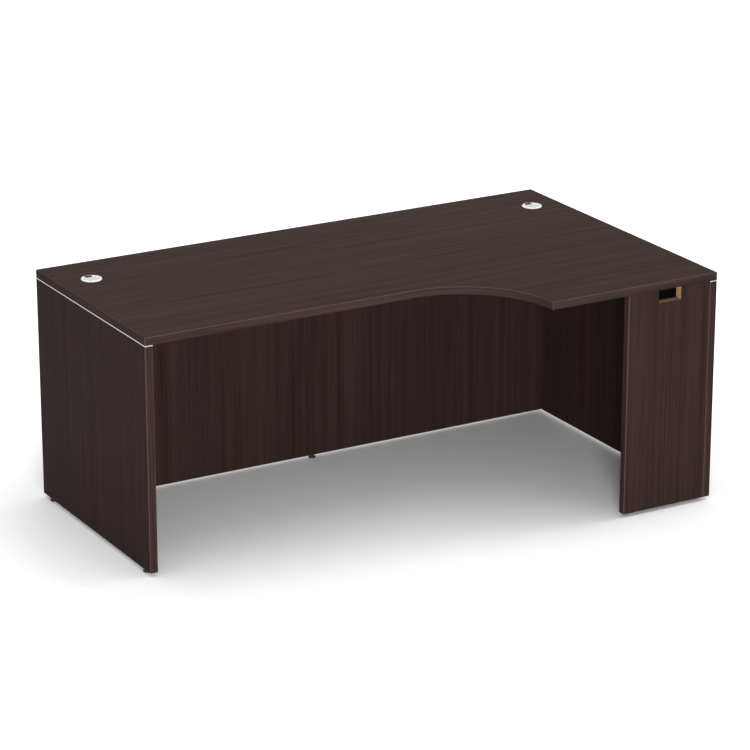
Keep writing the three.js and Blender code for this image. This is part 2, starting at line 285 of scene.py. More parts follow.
def rod(name, radius, start, end, sides=48):
    """A round bar between two points."""
    bpy.ops.object.select_all(action="DESELECT")
    start, end = Vector(start), Vector(end)
    turn = (end - start).to_track_quat("Z", "Y").to_euler()
    bpy.ops.mesh.primitive_cylinder_add(
        vertices=sides, radius=radius, depth=(end - start).length, location=(start + end) / 2, rotation=turn
    )
    return settle(named(bpy.context.object, name))


def turned(name, profile, steps, centre=(0, 0, 0)):
    """Spins a profile of (radius, height) points, in millimetres, round a vertical axis at centre."""
    centre = Vector(centre)
    points = [Vector((radius, 0, height)) * MM for radius, height in profile]
    bpy.ops.object.select_all(action="DESELECT")
    bpy.ops.mesh.primitive_plane_add(size=1 * MM, location=centre)
    piece = settle(named(bpy.context.object, name))
    bpy.ops.object.mode_set(mode="EDIT")
    bpy.ops.mesh.select_mode(type="VERT")
    bpy.ops.mesh.select_all(action="SELECT")
    bpy.ops.mesh.merge(type="CENTER")
    bpy.ops.transform.translate(value=points[0])
    for here, there in zip(points, points[1:]):
        bpy.ops.mesh.extrude_vertices_move(TRANSFORM_OT_translate={"value": there - here})
    bpy.ops.mesh.select_all(action="SELECT")
    bpy.ops.mesh.spin(steps=steps, angle=2 * math.pi, center=centre, axis=(0, 0, 1))
    leave_edit()
    return clean(piece)


def carve(piece, cutters):
    """Cuts each cutter out of piece. The cut faces take the cutter's material."""
    for cutter in cutters:
        pick(piece)
        bpy.ops.object.modifier_add(type="BOOLEAN")
        boolean = piece.modifiers[-1]
        boolean.operation = "DIFFERENCE"
        boolean.solver = "EXACT"
        boolean.material_mode = "TRANSFER"
        boolean.object = cutter
        bpy.ops.object.modifier_apply(modifier=boolean.name)
        bpy.data.objects.remove(cutter)
    return piece


def coat(piece, *materials):
    """Gives a piece its materials, the first of which is on every face."""
    piece.data.materials.clear()
    for material in materials:
        piece.data.materials.append(material)
    return piece


def coat_faces(piece, material, wanted):
    """Gives the faces that wanted() is true of another material."""
    if material.name not in piece.data.materials:
        piece.data.materials.append(material)
    place = piece.data.materials.find(material.name)
    for face in piece.data.polygons:
        if wanted(face):
            face.material_index = place


def smooth(piece, angle=35):
    """Smooths shallow edges, and weights normals so that the large flat faces stay flat."""
    pick(piece)
    bpy.ops.object.shade_smooth_by_angle(angle=math.radians(angle))
    bpy.ops.object.modifier_add(type="WEIGHTED_NORMAL")
    weighted = piece.modifiers[-1]
    weighted.keep_sharp = True
    bpy.ops.object.modifier_apply(modifier=weighted.name)
    return piece


def finish_piece(piece, node, body=DESK):
    """Makes piece stand for a CAD node on its body, and hides that node."""
    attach(piece, body)
    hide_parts(node)
    return piece


def copy_to(piece, name, place):
    """A copy of piece with its own mesh, put in place by a matrix."""
    pick(piece)
    bpy.ops.object.duplicate(linked=False)
    copy = named(bpy.context.object, name)
    copy.matrix_world = place
    return settle(copy)


# Shader node groups


def new_group(name, inputs, outputs):
    """A shader node group with its sockets, and its input and output nodes."""
    group = bpy.data.node_groups.new(name, "ShaderNodeTree")
    for socket, kind, default in inputs:
        made = group.interface.new_socket(name=socket, in_out="INPUT", socket_type=kind)
        made.default_value = default
    for socket, kind in outputs:
        group.interface.new_socket(name=socket, in_out="OUTPUT", socket_type=kind)
    return group, group.nodes.new("NodeGroupInput"), group.nodes.new("NodeGroupOutput")


def math_node(tree, operation, first, second):
    """A Math node of two values, each a socket or a number."""
    node = tree.nodes.new("ShaderNodeMath")
    node.operation = operation
    for socket, value in zip(node.inputs, (first, second)):
        if isinstance(value, (int, float)):
            socket.default_value = value
        else:
            tree.links.new(value, socket)
    return node.outputs[0]


def noise_node(tree, vector, scale, detail=3.0, roughness=0.5):
    node = tree.nodes.new("ShaderNodeTexNoise")
    node.inputs["Scale"].default_value = scale
    node.inputs["Detail"].default_value = detail
    node.inputs["Roughness"].default_value = roughness
    tree.links.new(vector, node.inputs["Vector"])
    return node.outputs["Fac"]


def range_node(tree, value, low, high, to_low, to_high):
    """Maps value from one range to another, and clamps it."""
    node = tree.nodes.new("ShaderNodeMapRange")
    for socket, number in zip(("From Min", "From Max", "To Min", "To Max"), (low, high, to_low, to_high)):
        node.inputs[socket].default_value = number
    tree.links.new(value, node.inputs["Value"])
    return node.outputs["Result"]


def mix_node(tree, factor, first, second, blend="MIX"):
    """Mixes two colours, each a socket or a colour. A Mix node's colour sockets are told apart by number."""
    node = tree.nodes.new("ShaderNodeMix")
    node.data_type = "RGBA"
    node.blend_type = blend
    for socket, value in zip((node.inputs[0], node.inputs[6], node.inputs[7]), (factor, first, second)):
        if isinstance(value, (int, float)):
            socket.default_value = value
        elif isinstance(value, tuple):
            socket.default_value = (*value, 1)
        else:
            tree.links.new(value, socket)
    return node.outputs[2]


def stretch_node(tree, vector, scale):
    """Scales a vector, so that a pattern is drawn out along some axes."""
    node = tree.nodes.new("ShaderNodeMapping")
    node.inputs["Scale"].default_value = scale
    tree.links.new(vector, node.inputs["Vector"])
    return node.outputs["Vector"]


def grain_group():
    """Straight woodgrain: pale and dark streaks, short pores and thin reddish lines, from a stretched vector."""
    if "Woodgrain" in bpy.data.node_groups:
        return bpy.data.node_groups["Woodgrain"]
    group, given, put = new_group(
        "Woodgrain",
        [
            ("Vector", "NodeSocketVector", (0, 0, 0)),
            ("Print", "NodeSocketColor", (0.1, 0.1, 0.1, 1)),
            ("Contrast", "NodeSocketFloat", 1.0),
        ],
        [("Color", "NodeSocketColor"), ("Roughness", "NodeSocketFloat"), ("Height", "NodeSocketFloat")],
    )
    vector, base = given.outputs["Vector"], given.outputs["Print"]
    bands = math_node(group, "SUBTRACT", noise_node(group, vector, 36.0, 4.0, 0.7), 0.5)
    streaks = math_node(group, "SUBTRACT", noise_node(group, vector, 170.0, 3.0, 0.65), 0.5)
    wide, narrow = (math_node(group, "MULTIPLY", part, 1.5) for part in (bands, streaks))
    swing = math_node(group, "MULTIPLY", math_node(group, "ADD", wide, narrow), given.outputs["Contrast"])
    shade = range_node(group, swing, -0.6, 0.6, 0.4, 1.6)
    pores = range_node(group, noise_node(group, vector, 640.0, 2.0, 0.6), 0.60, 0.74, 0.0, 0.3)
    pored = math_node(group, "SUBTRACT", shade, pores)
    drift = math_node(group, "SUBTRACT", noise_node(group, vector, 13.0, 3.0, 0.7), 0.5)
    line = range_node(group, math_node(group, "ABSOLUTE", drift, 0.0), 0.0, 0.014, 0.5, 0.0)
    shaded = mix_node(group, 1.0, base, pored, "MULTIPLY")
    reddish = mix_node(group, 1.0, shaded, (1.42, 1.1, 1.0), "MULTIPLY")
    group.links.new(mix_node(group, line, shaded, reddish), put.inputs["Color"])
    rough = range_node(group, shade, 0.6, 1.4, 0.52, 0.62)
    group.links.new(math_node(group, "ADD", rough, pores), put.inputs["Roughness"])
    group.links.new(math_node(group, "SUBTRACT", pored, pores), put.inputs["Height"])
    return group


def chips_group():
    """Pressed wood chips: flat flakes of several browns with dark gaps."""
    if "Wood chips" in bpy.data.node_groups:
        return bpy.data.node_groups["Wood chips"]
    group, given, put = new_group(
        "Wood chips",
        [("Vector", "NodeSocketVector", (0, 0, 0)), ("Chip", "NodeSocketColor", (0.4, 0.25, 0.12, 1))],
        [("Color", "NodeSocketColor"), ("Roughness", "NodeSocketFloat"), ("Height", "NodeSocketFloat")],
    )
    flakes = group.nodes.new("ShaderNodeTexVoronoi")
    flakes.inputs["Scale"].default_value = 420.0
    group.links.new(given.outputs["Vector"], flakes.inputs["Vector"])
    shade = group.nodes.new("ShaderNodeSeparateColor")
    group.links.new(flakes.outputs["Color"], shade.inputs["Color"])
    fibres = noise_node(group, given.outputs["Vector"], 900.0, 3.0)
    chip = given.outputs["Chip"]
    pale = mix_node(group, 1.0, chip, (1.35, 1.38, 1.45), "MULTIPLY")
    brown = mix_node(group, 1.0, chip, (0.72, 0.66, 0.60), "MULTIPLY")
    mixed = mix_node(group, shade.outputs[0], brown, pale)
    gaps = range_node(group, flakes.outputs["Distance"], 0.35, 0.75, 0.0, 0.7)
    fibred = mix_node(group, range_node(group, fibres, 0.35, 0.65, 0.0, 0.35), mixed, chip)
    group.links.new(mix_node(group, gaps, fibred, brown), put.inputs["Color"])
    group.links.new(range_node(group, fibres, 0.3, 0.7, 0.75, 0.95), put.inputs["Roughness"])
    height = math_node(group, "SUBTRACT", shade.outputs[1], flakes.outputs["Distance"])
    group.links.new(height, put.inputs["Height"])
    return group


def mottle_group():
    """A faint mottle of colour and gloss with a fine texture, for plastics and plated metals."""
    if "Mottle" in bpy.data.node_groups:
        return bpy.data.node_groups["Mottle"]
    group, given, put = new_group(
        "Mottle",
        [
            ("Vector", "NodeSocketVector", (0, 0, 0)),
            ("Base", "NodeSocketColor", (0.5, 0.5, 0.5, 1)),
            ("Spread", "NodeSocketFloat", 0.06),
            ("Gloss low", "NodeSocketFloat", 0.3),
            ("Gloss high", "NodeSocketFloat", 0.4),
        ],
        [("Color", "NodeSocketColor"), ("Roughness", "NodeSocketFloat"), ("Height", "NodeSocketFloat")],
    )
    vector, base = given.outputs["Vector"], given.outputs["Base"]
    cloud = range_node(group, noise_node(group, vector, 60.0, 4.0), 0.3, 0.7, 0.0, 1.0)
    fine = noise_node(group, vector, 1800.0, 2.0)
    darker = mix_node(group, 1.0, base, (0.70, 0.70, 0.72), "MULTIPLY")
    shade = math_node(group, "MULTIPLY", cloud, given.outputs["Spread"])
    group.links.new(mix_node(group, shade, base, darker), put.inputs["Color"])
    spread = math_node(group, "SUBTRACT", given.outputs["Gloss high"], given.outputs["Gloss low"])
    gloss = math_node(group, "MULTIPLY", math_node(group, "ADD", cloud, fine), 0.5)
    rough = math_node(group, "ADD", given.outputs["Gloss low"], math_node(group, "MULTIPLY", gloss, spread))
    group.links.new(rough, put.inputs["Roughness"])
    group.links.new(fine, put.inputs["Height"])
    return group


def brush_group():
    """Long fine scratches along one axis, for brushed metal."""
    if "Brushing" in bpy.data.node_groups:
        return bpy.data.node_groups["Brushing"]
    group, given, put = new_group(
        "Brushing",
        [("Vector", "NodeSocketVector", (0, 0, 0)), ("Metal", "NodeSocketColor", (0.9, 0.9, 0.9, 1))],
        [("Color", "NodeSocketColor"), ("Roughness", "NodeSocketFloat"), ("Height", "NodeSocketFloat")],
    )
    lines = noise_node(group, given.outputs["Vector"], 2500.0, 3.0, 0.7)
    darker = mix_node(group, 1.0, given.outputs["Metal"], (0.8, 0.8, 0.81), "MULTIPLY")
    shade = range_node(group, lines, 0.35, 0.7, 0.0, 0.6)
    group.links.new(mix_node(group, shade, given.outputs["Metal"], darker), put.inputs["Color"])
    group.links.new(range_node(group, lines, 0.3, 0.7, 0.26, 0.44), put.inputs["Roughness"])
    group.links.new(lines, put.inputs["Height"])
    return group


# Materials


def finish(name, group, stretch, values, bump, specular=0.5, metallic=0.0):
    """A Principled material whose colour, roughness and bump come from one of the groups above."""
    if name in bpy.data.materials:
        return bpy.data.materials[name]
    material = bpy.data.materials.new(name)
    material.use_nodes = True
    tree = material.node_tree
    shader = tree.nodes["Principled BSDF"]
    shader.inputs["Metallic"].default_value = metallic
    shader.inputs["Specular IOR Level"].default_value = specular
    place = tree.nodes.new("ShaderNodeTexCoord").outputs["Object"]
    effect = tree.nodes.new("ShaderNodeGroup")
    effect.node_tree = group
    tree.links.new(stretch_node(tree, place, stretch), effect.inputs["Vector"])
    for socket, value in values.items():
        effect.inputs[socket].default_value = value
    relief = tree.nodes.new("ShaderNodeBump")
    relief.inputs["Strength"].default_value = 0.5
    relief.inputs["Distance"].default_value = bump
    tree.links.new(effect.outputs["Height"], relief.inputs["Height"])
    tree.links.new(effect.outputs["Color"], shader.inputs["Base Color"])
    tree.links.new(effect.outputs["Roughness"], shader.inputs["Roughness"])
    tree.links.new(relief.outputs["Normal"], shader.inputs["Normal"])
    return material


def laminate(name, print_colour, across, contrast=1.0):
    """Printed woodgrain. across holds 1 for each axis that runs across the grain, and 0 for one along it."""
    stretch = tuple(1.0 if axis else GRAIN_STRETCH for axis in across)
    values = {"Print": (*print_colour, 1), "Contrast": contrast}
    return finish(name, grain_group(), stretch, values, 0.03 * MM, LAMINATE_SPECULAR)


# The top's laminate is a lit copy of the panels' laminate, painted light; the panels' is the shaded copy.
def lit_top_laminate():
    return laminate("espresso_top_lit", colours().top, (0, 1, 1), 0.85)


def shaded_panel_laminate():
    return laminate("espresso_panel_shaded", colours().panel, (1, 1, 0), 0.75)


def band_print(name, across):
    return laminate(name, colours().band, across)


# Lighter brown for the band's rounded edges: partly the plastic's own core, partly a painted highlight.
def band_core_and_highlight():
    return laminate("band_core_and_highlight", colours().band_core_and_highlight, (1, 1, 0), 0.3)


def particleboard():
    values = {"Chip": (*colours().chips, 1)}
    return finish("particleboard", chips_group(), (1, 1, 2.2), values, 0.25 * MM, 0.2)


def plastic(name, base, low, high, spread=0.12):
    values = {"Base": (*base, 1), "Spread": spread, "Gloss low": low, "Gloss high": high}
    return finish(name, mottle_group(), (1, 1, 1), values, 0.02 * MM, 0.5)


def liner_plastic():
    return plastic("liner_plastic", colours().liner, 0.28, 0.4)


# Near-black plastic put where the grommet's tube and slot lie in shade, a painted shadow.
def liner_inside():
    return plastic("liner_inside", colours().inside, 0.5, 0.65)


def zinc():
    values = {"Base": (*colours().zinc, 1), "Spread": 0.6, "Gloss low": 0.26, "Gloss high": 0.5}
    return finish("zinc_plate", mottle_group(), (1, 1, 1), values, 0.02 * MM, 0.5, 1.0)


def black_steel():
    values = {"Base": (*colours().black_steel, 1), "Spread": 0.4, "Gloss low": 0.34, "Gloss high": 0.5}
    return finish("black_steel", mottle_group(), (1, 1, 1), values, 0.02 * MM, 0.5, 0.8)


def brushed_aluminium():
    values = {"Metal": (*colours().aluminium, 1)}
    return finish("brushed_aluminium", brush_group(), (1, 0.02, 1), values, 0.01 * MM, 0.5, 1.0)


# Cam locks, as the frame places them


def locks():
    """(name, cam's board, screw's board, way in, way the cam faces, bolt's joint point, cam's middle)."""
    found = []
    for node in sorted(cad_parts):
        if not node.endswith("_cam"):
            continue
        name = node.removesuffix("_cam")
        cammed, bolted, into, face = LOCK_FAMILIES["_".join(name.split("_")[:2])]
        low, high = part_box(node)
        bolt_low, bolt_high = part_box(node + "_bolt")
        joint = (bolt_low + bolt_high) / 2 - into * BOLT_MIDDLE * MM
        found.append((name, cammed, bolted, into, face, joint, (low + high) / 2))
    return found


def lock_cutters(board):
    """The holes that the cam locks need in one board."""
    own = sizes()
    cutters = []
    for _, cammed, bolted, into, face, joint, middle in locks():
        if bolted == board:
            cutters.append(rod("screw_hole", own.screw_hole, joint - into * SCREW_DEPTH * MM, joint + into * MM, 24))
        if cammed == board:
            depth = (middle - joint).dot(into)
            mouth = joint + into * depth + face * POCKET_MOUTH * MM
            floor = joint + into * depth + face * (HALF_BOARD * MM - own.cam_pocket_depth)
            cutters.append(rod("bolt_bore", own.bolt_bore, joint - into * MM, joint + into * depth, 32))
            cutters.append(rod("cam_pocket", own.cam_pocket, floor, mouth, 64))
    return [coat(cutter, particleboard()) for cutter in cutters]


def leveller_place(name):
    low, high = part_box(name + "_leveller_foot_pad")
    return Vector(((low.x + high.x) / 2, (low.y + high.y) / 2, 0))


def insert_cutters(board, radius, top):
    cutters = []
    for name, owner in LEVELLERS.items():
        if owner == board:
            place = leveller_place(name)
            cutters.append(rod("insert_hole", radius, place, place + UP * top, 40))
    return [coat(cutter, particleboard()) for cutter in cutters]


# Pieces


def outline_prism(name, inset, low, high):
    """The desk top's outline, moved inwards by inset, between two heights."""
    outer_low, outer_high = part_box("desk_top_edge_band")
    left_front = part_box("left_end_panel_edge_band")[0].y
    radius = left_front - outer_low.y + inset
    centre = Vector((outer_high.x - sizes().lobe - (left_front - outer_low.y), outer_low.y, 0))
    in_x, in_y = RIGHT * inset, REAR * inset
    corner_low = outer_low + in_x + in_y
    corner_high = outer_high - in_x - in_y
    prism = block(name, (*corner_low.xy, low), (*corner_high.xy, high))
    shallow = block(
        "shallow_end", (outer_low.x - 1, outer_low.y - 1, low - 1), (centre.x, left_front + inset, high + 1)
    )
    curve = rod("curve", radius, centre + UP * (low - 1), centre + UP * (high + 1), 256)
    return carve(prism, [shallow, curve])


def grommet_centre(side):
    low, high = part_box(side + "_grommet_liner")
    return Vector(((low.x + high.x) / 2, (low.y + high.y) / 2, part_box("desk_top")[1].z))


def make_top():
    own = sizes()
    low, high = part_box("desk_top")
    board = outline_prism("desk_top_board", own.band + own.seam, low.z, high.z)
    coat(board, lit_top_laminate())
    holes = [
        coat(rod("grommet_hole", own.grommet_hole, centre + DOWN * 0.05, centre + UP * 0.01, 96), particleboard())
        for centre in map(grommet_centre, SIDES)
    ]
    carve(board, holes + lock_cutters("desk_top"))
    coat_faces(board, particleboard(), lambda face: abs(face.normal.z) < 0.5)
    finish_piece(smooth(board), "desk_top")

    band = outline_prism("desk_top_band", 0, low.z, high.z)
    coat(band, band_print("band_level", (0, 0, 1)), band_core_and_highlight())
    # Only the band's upper rounded edges take the lighter core colour, partly a painted highlight; the lower edges
    # lie in shade and keep the darker print.
    round_edges(
        band, own.band_radius, 4, lambda edge: is_sharp(edge) and middle_of(edge).z > low.z + MM, material=1
    )
    round_edges(
        band, own.lower_radius, 2, lambda edge: is_sharp(edge) and middle_of(edge).z < low.z + 0.1 * MM
    )
    carve(band, [coat(outline_prism("inside", own.band, low.z - 0.01, high.z + 0.01), band_core_and_highlight())])
    finish_piece(smooth(band), "desk_top_edge_band")


def make_end_panel(side):
    own = sizes()
    node = side + "_end_panel"
    low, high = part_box(node)
    outer_low, outer_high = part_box(node + "_edge_band")
    inset = own.band + own.seam
    board = block(
        node + "_board", (low.x, outer_low.y + inset, outer_low.z + inset), (high.x, outer_high.y - inset, high.z)
    )
    coat(board, shaded_panel_laminate())
    coat_faces(board, particleboard(), lambda face: abs(face.normal.x) < 0.5)
    carve(board, lock_cutters(node) + insert_cutters(node, own.insert_hole, INSERT_TOP * MM))
    finish_piece(smooth(board), node)

    band = block(node + "_band", outer_low, outer_high)
    coat(band, band_print("band_upright_x", (1, 0, 0)), band_core_and_highlight())
    # The rounded edges take the lighter core colour, partly a painted highlight.
    round_edges(
        band, own.band_radius, 4, lambda edge: middle_of(edge).z < outer_high.z - MM, material=1
    )
    inside = block(
        "inside",
        (low.x - 1, outer_low.y + own.band, outer_low.z + own.band),
        (high.x + 1, outer_high.y - own.band, high.z + 1),
    )
    carve(band, [coat(inside, band_core_and_highlight())] + insert_cutters(node, own.bolt_bore, INSERT_TOP * MM))
    finish_piece(smooth(band), node + "_edge_band")

    strip_node = side + "_accent_strip"
    strip = coat(block(side + "_strip", *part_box(strip_node)), brushed_aluminium())
    round_edges(strip, own.strip_edge, 2)
    bores = [
        rod("bolt_bore", own.bolt_bore, joint + UP * 0.01, joint + DOWN * 0.02, 32)
        for _, cammed, _, into, _, joint, _ in locks()
        if cammed == node and into == DOWN
    ]
    carve(strip, [coat(bore, brushed_aluminium()) for bore in bores])
    finish_piece(smooth(strip), strip_node)


def make_modesty():
    own = sizes()
    node = "modesty_panel"
    low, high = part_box(node)
    band_low, band_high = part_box(node + "_edge_band")
    board = block(node + "_board", (low.x, low.y, band_high.z + own.seam), high)
    coat(board, shaded_panel_laminate())
    coat_faces(board, particleboard(), lambda face: abs(face.normal.y) < 0.5)
    carve(board, lock_cutters(node) + insert_cutters(node, own.insert_hole, INSERT_TOP * MM))
    finish_piece(smooth(board), node)

    band = block(node + "_band", band_low, band_high)
    coat(band, band_print("band_level_y", (0, 1, 0)), band_core_and_highlight())
    # The rounded edges take the lighter core colour, partly a painted highlight.
    round_edges(
        band,
        own.band_radius,
        4,
        lambda edge: middle_of(edge).z < band_low.z + 0.1 * MM and abs(middle_of(edge).x) < MM,
        material=1,
    )
    carve(band, insert_cutters(node, own.bolt_bore, INSERT_TOP * MM))
    finish_piece(smooth(band), node + "_edge_band")


def make_support():
    own = sizes()
    node = "support_panel"
    low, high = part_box(node)
    outer_low, outer_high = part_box(node + "_edge_band")
    inset = own.band + own.seam
    board = block(node + "_board", (outer_low.x + inset, low.y, outer_low.z + inset), high)
    coat(board, shaded_panel_laminate())
    coat_faces(board, particleboard(), lambda face: abs(face.normal.y) < 0.5 and face.normal.z < 0.5)
    inner_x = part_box("right_end_panel")[0].x
    notch_x = (outer_low.x + inner_x) / 2
    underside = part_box("desk_top")[0].z
    notch = block(
        "notch",
        (notch_x - own.notch_width / 2, low.y - 0.01, underside - own.notch_height),
        (notch_x + own.notch_width / 2, high.y + 0.01, high.z + 0.01),
    )
    carve(board, [coat(notch, particleboard())] + lock_cutters(node))
    finish_piece(smooth(board), node)

    band = block(node + "_band", outer_low, outer_high)
    coat(band, band_print("band_upright_y", (0, 1, 0)), band_core_and_highlight())

    def on_free_edge(edge):
        middle = middle_of(edge)
        return middle.z < outer_high.z - MM and middle.x < outer_high.x - MM

    # The rounded edges take the lighter core colour, partly a painted highlight.
    round_edges(band, own.band_radius, 4, on_free_edge, material=1)
    inside = block(
        "inside", (outer_low.x + own.band, low.y - 1, outer_low.z + own.band), (high.x + 1, high.y + 1, high.z + 1)
    )
    carve(band, [coat(inside, band_core_and_highlight())])
    finish_piece(smooth(band), node + "_edge_band")


def make_grommet(side):
    """The liner's rimmed flange and tube, and the dished cap with its cable slot, round the hole in the top."""
    own = sizes()
    centre = grommet_centre(side)
    liner_profile = [
        (24.9, -20.6), (25.3, -21.0), (27.0, -21.0), (27.6, -20.2), (28.1, -18.5), (28.1, 0.05),
        (32.1, 0.05), (32.5, 0.35), (32.5, 2.2), (32.3, 2.7), (31.9, 3.05), (31.5, 3.2), (31.1, 3.15),
        (30.8, 2.9), (30.75, 2.6), (30.75, 1.0), (25.2, 1.0), (24.9, 0.7), (24.9, -20.6),
    ]
    liner = turned(side + "_grommet_ring", liner_profile, 96, centre)
    coat(liner, liner_plastic())

    # The tube's inner wall and the flange's recess get the near-black plastic, painted shade.
    def inside(face):
        return (face.center - centre).xy.length < 30.76 * MM and face.center.z < centre.z + 2.8 * MM

    coat_faces(liner, liner_inside(), inside)
    finish_piece(smooth(liner), side + "_grommet_liner")

    cap_profile = [
        (22.7, -6.7), (22.9, -6.9), (23.8, -6.9), (24.1, -6.6), (24.1, 1.3), (30.1, 1.3), (30.4, 1.6),
        (30.4, 2.5), (30.2, 2.8), (29.8, 2.97), (29.0, 3.0), (27.4, 3.0), (26.7, 2.85), (26.2, 2.5),
        (25.8, 2.15), (25.2, 2.0), (0.0, 2.0), (0.0, 0.5), (22.7, 0.5), (22.7, -6.7),
    ]
    cap = turned(side + "_grommet_lid", cap_profile, 96, centre)
    coat(cap, liner_plastic())

    def in_dish(face):
        return (face.center - centre).xy.length < 25.9 * MM and face.center.z > centre.z + 1.9 * MM

    # The dish in the cap's middle gets the grey plastic: painted shade on a recess in the same white plastic.
    coat_faces(cap, plastic("cap_plastic", colours().cap, 0.42, 0.56), in_dish)
    half = own.slot_width / 2
    slot = block(
        "slot",
        centre + Vector((-half, own.slot_inner, -20 * MM)),
        centre + Vector((half, 40 * MM, 20 * MM)),
    )
    # The slot's cut walls take the near-black plastic, painted shade.
    coat(slot, liner_inside())
    inner_y = centre.y + own.slot_inner

    def upright_inner(edge):
        first, second = (vertex.co for vertex in edge.verts)
        return abs(first.z - second.z) > MM and first.y < inner_y + MM

    round_edges(slot, 4 * MM, 8, upright_inner)
    carve(cap, [slot])
    round_edges(cap, 0.3 * MM, 2, lambda edge: is_sharp(edge) and on_slot(edge, centre, half, own.slot_inner))
    body = side + "_grommet_cap"
    finish_piece(smooth(cap), body, body)


def on_slot(edge, centre, half, inner):
    """Whether an edge of the cap's upper face borders the slot."""
    place = middle_of(edge) - centre
    in_slot = abs(place.x) < half + 0.05 * MM and place.y > inner - 0.05 * MM
    return in_slot and place.z > 1.9 * MM and place.xy.length < 30 * MM


def make_levellers():
    """The pad, stem and insert of one leveller, and their copies under each board."""
    own = sizes()
    pad_profile = [
        (0.0, 0.0), (11.6, 0.0), (12.2, 0.2), (12.5, 0.7), (12.5, 2.0), (12.1, 2.6), (11.2, 3.1), (8.4, 5.6),
        (7.7, 6.6), (7.5, 7.1), (7.1, 7.5), (3.3, 7.5), (2.9, 7.1), (2.9, 4.0), (0.0, 4.0),
    ]
    pad = coat(turned("pad", pad_profile, 64), plastic("foot_plastic", colours().foot, 0.42, 0.58, 0.3))
    smooth(pad)

    crest, root = 3.9, 3.9 - own.thread_depth / MM
    pitch = own.thread_pitch / MM
    rod_profile = [(0.0, 4.3), (2.1, 4.3), (2.5, 4.7), (2.5, 7.6), (3.6, 8.4), (3.6, 11.2), (root, 11.8)]
    turns = int((39.0 - 11.8) / pitch)
    for turn in range(turns):
        base = 11.8 + turn * pitch
        rod_profile += [(crest, base + 0.35 * pitch), (crest, base + 0.65 * pitch), (root, base + pitch)]
    rod_profile += [(root - 0.5, 40.0), (0.0, 40.0)]
    stem = turned("stem", rod_profile, 32)
    hexagon = rod("hexagon", 6.5 * MM, (0, 0, 7.8 * MM), (0, 0, 11.5 * MM), 6)
    round_edges(hexagon, 0.5 * MM, 2)
    pick(stem)
    bpy.ops.object.modifier_add(type="BOOLEAN")
    stem.modifiers[-1].operation = "UNION"
    stem.modifiers[-1].solver = "EXACT"
    stem.modifiers[-1].object = hexagon
    bpy.ops.object.modifier_apply(modifier=stem.modifiers[-1].name)
    bpy.data.objects.remove(hexagon)
    coat(stem, black_steel())
    smooth(stem)

    insert_profile = [(4.2, 15.3), (6.0, 15.3)]
    for barb in range(6):
        base = 16.5 + barb * 3.2
        insert_profile += [(6.0, base), (5.5, base + 0.3), (5.5, base + 0.9), (6.0, base + 2.4)]
    insert_profile += [(6.0, 36.6), (5.5, 37.3), (4.2, 37.3), (4.2, 15.3)]
    insert = coat(turned("insert", insert_profile, 40), zinc())
    smooth(insert)

    for name in LEVELLERS:
        place = Matrix.Translation(leveller_place(name))
        for master, part, body in (
            (pad, "foot_pad", name + "_leveller_foot_pad"),
            (stem, "stem", name + "_leveller_stem"),
            (insert, "insert", DESK),
        ):
            copy = copy_to(master, f"{name}_levelling_{part}", place)
            finish_piece(copy, f"{name}_leveller_{part}", body)
    for master in (pad, stem, insert):
        bpy.data.objects.remove(master)


def make_cam():
    """One cam round the origin, facing +X, with the bolt's head coming from -Z."""
    cam = rod("cam", 7.4 * MM, (-CAM_HALF * MM, 0, 0), (CAM_HALF * MM, 0, 0), 64)
    coat(cam, zinc())
    round_edges(cam, 0.5 * MM, 2)
    face_x = CAM_HALF * MM
    arms = [
        block("arm", (face_x - 3 * MM, -3.6 * MM, -0.6 * MM), (face_x + MM, 3.6 * MM, 0.6 * MM)),
        block("arm", (face_x - 3 * MM, -0.6 * MM, -3.6 * MM), (face_x + MM, 0.6 * MM, 3.6 * MM)),
    ]
    ring = turned("ring", [(5.0, 5.7), (5.5, 5.7), (5.5, 8.0), (5.0, 8.0), (5.0, 5.7)], 64)
    ring.matrix_world = Matrix.Rotation(math.radians(90), 4, "Y")
    settle(ring)
    window = block("window", (-4.2 * MM, -3.4 * MM, -8 * MM), (1.8 * MM, 3.4 * MM, -1 * MM))
    head_bore = rod("head_bore", 3.8 * MM, (-CAM_HALF * MM, 0, -8 * MM), (-CAM_HALF * MM, 0, 0.4 * MM), 32)
    carve(cam, [coat(cutter, zinc()) for cutter in (*arms, ring, window, head_bore)])
    return smooth(cam)


def make_bolt():
    """One cam bolt on the Z axis, with its joint at the origin and its head at the top."""
    profile = [(0.0, -11.0), (1.6, -11.0)]
    for ridge in range(7):
        base = -10.2 + ridge * 1.4
        profile += [(1.75, base), (2.5, base + 0.7), (1.75, base + 1.0)]
    profile += [
        (2.0, -0.6), (3.0, -0.4), (3.0, 24.5), (2.2, 25.0), (2.2, 28.2), (3.1, 28.8), (3.5, 29.6),
        (3.5, 31.6), (3.0, 32.5), (1.8, 33.0), (0.0, 33.0),
    ]
    return smooth(coat(turned("bolt", profile, 32), zinc()))


def make_locks():
    cam, bolt = make_cam(), make_bolt()
    for name, _, _, into, face, joint, middle in locks():
        side = into.cross(face)
        turn = Matrix((face, side, into)).transposed().to_4x4()
        for master, part, place in ((cam, "cam", middle), (bolt, "cam_bolt", joint)):
            copy = copy_to(master, f"{name}_lock_{part}", Matrix.Translation(place) @ turn)
            finish_piece(copy, f"{name}_{part}")
    for master in (cam, bolt):
        bpy.data.objects.remove(master)


